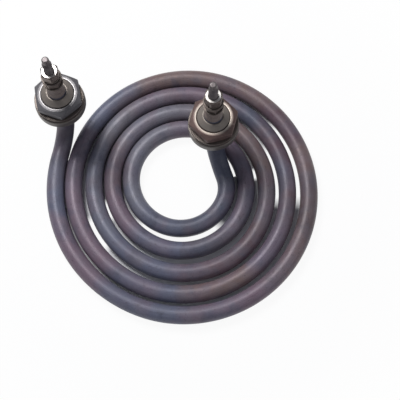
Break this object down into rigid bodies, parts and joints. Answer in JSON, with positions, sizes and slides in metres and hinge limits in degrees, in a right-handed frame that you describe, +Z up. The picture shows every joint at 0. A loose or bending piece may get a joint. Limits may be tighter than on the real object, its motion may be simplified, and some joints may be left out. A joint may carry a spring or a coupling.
{
  "type": "tubular heating element",
  "caption": "Flat spiral of sheathed heating tube whose two ends bend upright into screwed bushes with insulated terminal studs.",
  "frame": {"origin": "middle of the coil's outline, on the plane that the coil rests on", "axes": "+Z up along both terminals, +X towards the side of the coil away from the outer terminal, +Y towards the side where both legs rise"},
  "size_m": [0.1241, 0.1212, 0.0738],
  "materials": {
    "oxidised_tube": "satin, oxidised mauve-brown to blue-grey",
    "magnesia": "packed powder",
    "resistance_alloy": "satin",
    "fitting_metal": "plated, tarnished, semi-bright",
    "gasket_rubber": "matte",
    "washer_steel": "semi-bright",
    "small_nut_steel": "bright",
    "stud_steel": "dull",
    "bead_ceramic": "matte",
    "seal_resin": "matte"
  },
  "bodies": {
    "root": {"sheath": "oxidised_tube", "magnesia_filling": "magnesia", "resistance_wire": "resistance_alloy", "outer_ferrule": "fitting_metal", "outer_gasket": "gasket_rubber", "outer_wide_washer": "washer_steel", "outer_lock_nut": "fitting_metal", "outer_end_seal": "seal_resin", "outer_bead": "bead_ceramic", "outer_stud": "stud_steel", "outer_lower_washer": "washer_steel", "outer_lower_nut": "small_nut_steel", "outer_upper_washer": "washer_steel", "outer_spring_washer": "washer_steel", "outer_upper_nut": "small_nut_steel", "inner_ferrule": "fitting_metal", "inner_gasket": "gasket_rubber", "inner_wide_washer": "washer_steel", "inner_lock_nut": "fitting_metal", "inner_end_seal": "seal_resin", "inner_bead": "bead_ceramic", "inner_stud": "stud_steel", "inner_lower_washer": "washer_steel", "inner_lower_nut": "small_nut_steel", "inner_upper_washer": "washer_steel", "inner_spring_washer": "washer_steel", "inner_upper_nut": "small_nut_steel"}
  },
  "joints": []
}
